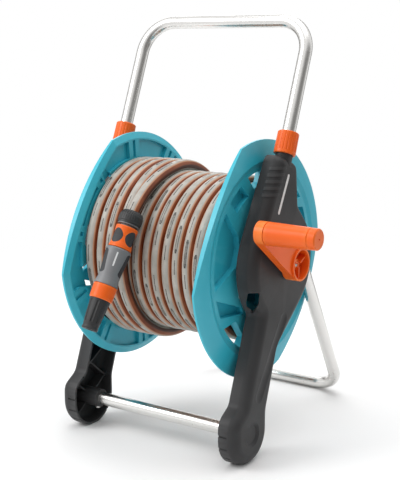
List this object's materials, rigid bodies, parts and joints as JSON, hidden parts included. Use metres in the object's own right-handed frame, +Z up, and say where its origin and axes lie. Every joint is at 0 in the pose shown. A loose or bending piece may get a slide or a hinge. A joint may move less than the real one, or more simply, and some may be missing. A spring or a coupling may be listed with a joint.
{
  "type": "garden hose reel",
  "caption": "Free-standing garden hose reel on two feet and a rear stand, with telescopic handle, hand crank, wound hose and adjustable nozzle.",
  "frame": {"origin": "middle of the footprint's bounding box on the floor, the hose's free end left out", "axes": "+Z up, +X along the reel's axle towards the crank, -Y the front, where the two feet stand"},
  "size_m": [0.436, 0.4722, 0.6087],
  "materials": {
    "frame_plastic": "satin",
    "chrome_tube": "polished",
    "teal_plastic": "satin",
    "drum_plastic": "satin",
    "orange_plastic": "satin",
    "grey_plastic": "satin",
    "black_plastic": "matte",
    "grip_rubber": "matte",
    "steel_screws": "satin",
    "hose_pvc": "satin"
  },
  "bodies": {
    "stand": {"side_frame_left": "frame_plastic", "side_frame_right": "frame_plastic", "front_crossbar": "chrome_tube", "rear_stand": "chrome_tube", "crossbar_screws": "steel_screws", "bearing_bush_left": "frame_plastic", "bearing_bush_right": "frame_plastic", "inlet_elbow": "grey_plastic", "inlet_screws": "steel_screws", "inlet_seals": "grip_rubber"},
    "handle": {"handle_tube": "chrome_tube", "handle_stops": "frame_plastic"},
    "collar_left": {"lock_collar_left": "orange_plastic"},
    "collar_right": {"lock_collar_right": "orange_plastic"},
    "reel": {"flange_left": "teal_plastic", "flange_right": "teal_plastic", "drum_core": "drum_plastic", "tie_screws": "steel_screws", "journal_left": "drum_plastic", "journal_right": "drum_plastic", "water_tube": "drum_plastic", "outlet_nipple": "grey_plastic", "crank_arm": "orange_plastic", "crank_screw": "steel_screws", "grip_pin": "steel_screws", "grip_cap": "orange_plastic", "hose_winding": "hose_pvc", "hose_tail": "hose_pvc", "connector_nut": "black_plastic", "connector_core": "grey_plastic", "nozzle_body": "grey_plastic", "nozzle_panels": "grip_rubber"},
    "grip": {"crank_grip": "orange_plastic"},
    "sleeve": {"coupling_sleeve": "orange_plastic", "sleeve_pads": "grip_rubber"},
    "spray_head": {"nozzle_ring": "orange_plastic", "nozzle_tip": "black_plastic"}
  },
  "joints": [
    {"name": "reel_turn", "type": "hinge", "parent": "stand", "child": "reel", "pos_m": [-0.033, -0.0443, 0.267], "axis": [1, 0, 0], "continuous": true},
    {"name": "grip_turn", "type": "hinge", "parent": "reel", "child": "grip", "pos_m": [0.1749, -0.13404, 0.32417], "axis": [1, 0, 0], "continuous": true},
    {"name": "handle_slide", "type": "slide", "parent": "stand", "child": "handle", "axis": [0, 0.3697, 0.9291], "range_m": [-0.1, 0]},
    {"name": "collar_left_twist", "type": "hinge", "parent": "stand", "child": "collar_left", "pos_m": [-0.1757, -0.03008, 0.43167], "axis": [0, 0.3697, 0.9291], "range_deg": [0, 90]},
    {"name": "collar_right_twist", "type": "hinge", "parent": "stand", "child": "collar_right", "pos_m": [0.1097, -0.03008, 0.43167], "axis": [0, 0.3697, 0.9291], "range_deg": [-90, 0]},
    {"name": "sleeve_pull", "type": "slide", "parent": "reel", "child": "sleeve", "axis": [0.0676, 0.4902, 0.869], "range_m": [0, 0.003], "stiffness_N_per_m": 400, "springref_m": -0.003},
    {"name": "spray_twist", "type": "hinge", "parent": "reel", "child": "spray_head", "pos_m": [-0.06238, -0.22364, 0.23486], "axis": [-0.0676, -0.4902, -0.869], "range_deg": [0, 300]}
  ]
}
